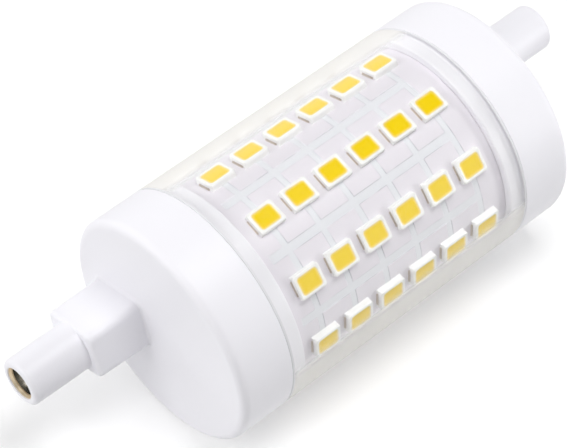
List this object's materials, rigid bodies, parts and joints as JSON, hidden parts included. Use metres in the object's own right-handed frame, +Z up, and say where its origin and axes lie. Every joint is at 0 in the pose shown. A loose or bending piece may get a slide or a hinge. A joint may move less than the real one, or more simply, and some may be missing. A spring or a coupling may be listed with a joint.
{
  "type": "linear led bulb",
  "caption": "Double-ended linear bulb: a clear tube round a rolled board of LED packages, between white caps with off-centre necks and round posts that hold recessed contacts.",
  "frame": {"origin": "middle of the tube, on its axis", "axes": "+X along the tube; the bulb lies on its side with +Z up, and the posts stand off towards +Y, 17 degrees below level"},
  "size_m": [0.078, 0.028, 0.028],
  "materials": {
    "cap_plastic": "satin moulded",
    "clear_plastic": "clear extruded",
    "board": "white solder mask",
    "led_resin": "white moulded resin",
    "phosphor": "cast silicone",
    "terminal": "tinned",
    "contact_brass": "drawn",
    "contact_nickel": "nickel plated",
    "driver_board": "solder mask",
    "capacitor_film": "moulded",
    "capacitor_can": "sleeved",
    "ferrite": "sintered",
    "copper_wire": "enamelled",
    "fuse_body": "lacquered",
    "component_black": "moulded epoxy"
  },
  "bodies": {
    "root": {"end_cap_left": "cap_plastic", "end_cap_right": "cap_plastic", "contact_sleeve_left": "contact_brass", "contact_sleeve_right": "contact_brass", "contact_pin_left": "contact_nickel", "contact_pin_right": "contact_nickel", "clear_tube": "clear_plastic", "led_board": "board", "driver_board": "driver_board", "input_capacitor": "capacitor_film", "smoothing_capacitor": "capacitor_can", "choke_core": "ferrite", "choke_winding": "copper_wire", "fuse_resistor": "fuse_body", "feed_pins": "terminal", "bridge_rectifier": "component_black", "driver_chip": "component_black", "sense_resistors": "component_black", "led_housings_row_01": "led_resin", "led_phosphor_row_01": "phosphor", "led_terminals_row_01": "terminal", "led_housings_row_02": "led_resin", "led_phosphor_row_02": "phosphor", "led_terminals_row_02": "terminal", "led_housings_row_03": "led_resin", "led_phosphor_row_03": "phosphor", "led_terminals_row_03": "terminal", "led_housings_row_04": "led_resin", "led_phosphor_row_04": "phosphor", "led_terminals_row_04": "terminal", "led_housings_row_05": "led_resin", "led_phosphor_row_05": "phosphor", "led_terminals_row_05": "terminal", "led_housings_row_06": "led_resin", "led_phosphor_row_06": "phosphor", "led_terminals_row_06": "terminal", "led_housings_row_07": "led_resin", "led_phosphor_row_07": "phosphor", "led_terminals_row_07": "terminal", "led_housings_row_08": "led_resin", "led_phosphor_row_08": "phosphor", "led_terminals_row_08": "terminal", "led_housings_row_09": "led_resin", "led_phosphor_row_09": "phosphor", "led_terminals_row_09": "terminal", "led_housings_row_10": "led_resin", "led_phosphor_row_10": "phosphor", "led_terminals_row_10": "terminal"}
  },
  "joints": []
}
